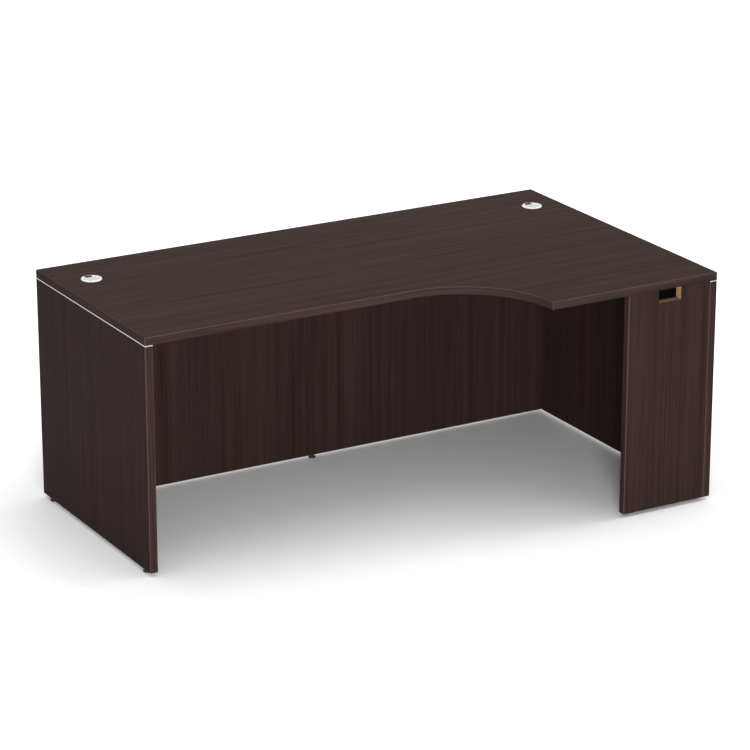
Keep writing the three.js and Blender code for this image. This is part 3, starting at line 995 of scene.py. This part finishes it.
def make_studio():
    """A white floor that glows away from the desk, an even white sky, four soft lights and the camera."""
    studio = bpy.context.scene.desk_studio
    bpy.ops.object.select_all(action="DESELECT")
    bpy.ops.mesh.primitive_plane_add(size=studio.floor_size)
    floor = named(bpy.context.object, "studio_floor")
    paper = bpy.data.materials.new("studio_paper")
    paper.use_nodes = True
    shader = paper.node_tree.nodes["Principled BSDF"]
    shader.inputs["Base Color"].default_value = (0.92, 0.92, 0.92, 1)
    shader.inputs["Roughness"].default_value = 0.9
    shader.inputs["Specular IOR Level"].default_value = 0.0
    shader.inputs["Emission Color"].default_value = (1, 1, 1, 1)
    place = paper.node_tree.nodes.new("ShaderNodeTexCoord").outputs["Object"]
    away = paper.node_tree.nodes.new("ShaderNodeVectorMath")
    away.operation = "LENGTH"
    paper.node_tree.links.new(place, away.inputs[0])
    lit = range_node(paper.node_tree, away.outputs["Value"], *GLOW_RISES, 0.0, studio.floor_glow)
    paper.node_tree.links.new(lit, shader.inputs["Emission Strength"])
    coat(floor, paper)

    world = bpy.data.worlds.new("studio_sky")
    world.use_nodes = True
    world.node_tree.nodes["Background"].inputs["Color"].default_value = (1, 1, 1, 1)
    world.node_tree.nodes["Background"].inputs["Strength"].default_value = studio.sky
    bpy.context.scene.world = world

    for name, place, size, power in (
        ("low_key", (-3.0, -6.5, 1.0), 2, studio.low_key),
        ("right_fill", (7, -1, 3), 4, studio.right_fill),
        ("overhead", (0, 0, 6), 5, studio.overhead),
        ("rear_fill", (1, 6, 5), 4, studio.rear_fill),
    ):
        bpy.ops.object.light_add(type="AREA", location=place)
        light = bpy.context.object
        light.name = "studio_" + name
        light.data.shape = "DISK"
        light.data.size = size
        light.data.energy = power
        light.rotation_euler = (Vector((0, 0, 0.4)) - light.location).to_track_quat("-Z", "Y").to_euler()

    bpy.ops.object.camera_add(
        location=studio.camera_place, rotation=(math.pi / 2 - studio.elevation, 0, studio.azimuth)
    )
    camera = bpy.context.object
    camera.name = "studio_camera"
    camera.data.lens = studio.lens
    camera.data.sensor_width = 36
    camera.data.clip_end = 200
    bpy.context.scene.camera = camera
    bpy.context.scene.view_settings.view_transform = "Standard"
    bpy.context.scene.view_settings.look = "None"


# Operators and sidebar


class DESK_OT_top(bpy.types.Operator):
    """Model the desk top and its edge band"""

    bl_idname = "desk.top"
    bl_label = "Desk top"

    def execute(self, context):
        make_top()
        return {"FINISHED"}


class DESK_OT_end_panels(bpy.types.Operator):
    """Model the end panels with their edge bands and accent strips"""

    bl_idname = "desk.end_panels"
    bl_label = "End panels"

    def execute(self, context):
        for side in SIDES:
            make_end_panel(side)
        return {"FINISHED"}


class DESK_OT_modesty(bpy.types.Operator):
    """Model the modesty panel and its edge band"""

    bl_idname = "desk.modesty"
    bl_label = "Modesty panel"

    def execute(self, context):
        make_modesty()
        return {"FINISHED"}


class DESK_OT_support(bpy.types.Operator):
    """Model the notched support panel and its edge band"""

    bl_idname = "desk.support"
    bl_label = "Support panel"

    def execute(self, context):
        make_support()
        return {"FINISHED"}


class DESK_OT_grommets(bpy.types.Operator):
    """Model the cable grommets"""

    bl_idname = "desk.grommets"
    bl_label = "Grommets"

    def execute(self, context):
        for side in SIDES:
            make_grommet(side)
        return {"FINISHED"}


class DESK_OT_levellers(bpy.types.Operator):
    """Model the levellers under the boards"""

    bl_idname = "desk.levellers"
    bl_label = "Levellers"

    def execute(self, context):
        make_levellers()
        return {"FINISHED"}


class DESK_OT_cam_locks(bpy.types.Operator):
    """Model the cam locks that join the boards"""

    bl_idname = "desk.cam_locks"
    bl_label = "Cam locks"

    def execute(self, context):
        make_locks()
        return {"FINISHED"}


class DESK_OT_studio(bpy.types.Operator):
    """Add the floor, the lights and the camera"""

    bl_idname = "desk.studio"
    bl_label = "Studio"

    def execute(self, context):
        make_studio()
        return {"FINISHED"}


OPERATORS = (
    DESK_OT_studio,
    DESK_OT_top,
    DESK_OT_end_panels,
    DESK_OT_modesty,
    DESK_OT_support,
    DESK_OT_grommets,
    DESK_OT_levellers,
    DESK_OT_cam_locks,
)


class DESK_PT_sidebar(bpy.types.Panel):
    """Sizes, colours and one button for each group of pieces"""

    bl_idname = "DESK_PT_sidebar"
    bl_label = "Teacher Desk"
    bl_space_type = "VIEW_3D"
    bl_region_type = "UI"
    bl_category = "Teacher Desk"

    def draw(self, context):
        for operator in OPERATORS:
            self.layout.operator(operator.bl_idname)
        for settings in (context.scene.desk_sizes, context.scene.desk_colours, context.scene.desk_studio):
            column = self.layout.column()
            for name in settings.__annotations__:
                column.prop(settings, name)


SETTINGS = {"desk_sizes": DeskSizes, "desk_colours": DeskColours, "desk_studio": StudioSettings}


def register():
    for made in (*SETTINGS.values(), *OPERATORS, DESK_PT_sidebar):
        bpy.utils.register_class(made)
    for name, group in SETTINGS.items():
        setattr(bpy.types.Scene, name, bpy.props.PointerProperty(type=group))


def unregister():
    for name in SETTINGS:
        delattr(bpy.types.Scene, name)
    for made in (DESK_PT_sidebar, *reversed(OPERATORS), *reversed(SETTINGS.values())):
        bpy.utils.unregister_class(made)


def main():
    register()
    bpy.ops.desk.studio()
    bpy.ops.desk.top()
    bpy.ops.desk.end_panels()
    bpy.ops.desk.modesty()
    bpy.ops.desk.support()
    bpy.ops.desk.grommets()
    bpy.ops.desk.levellers()
    bpy.ops.desk.cam_locks()


if __name__ == "__main__":
    main()
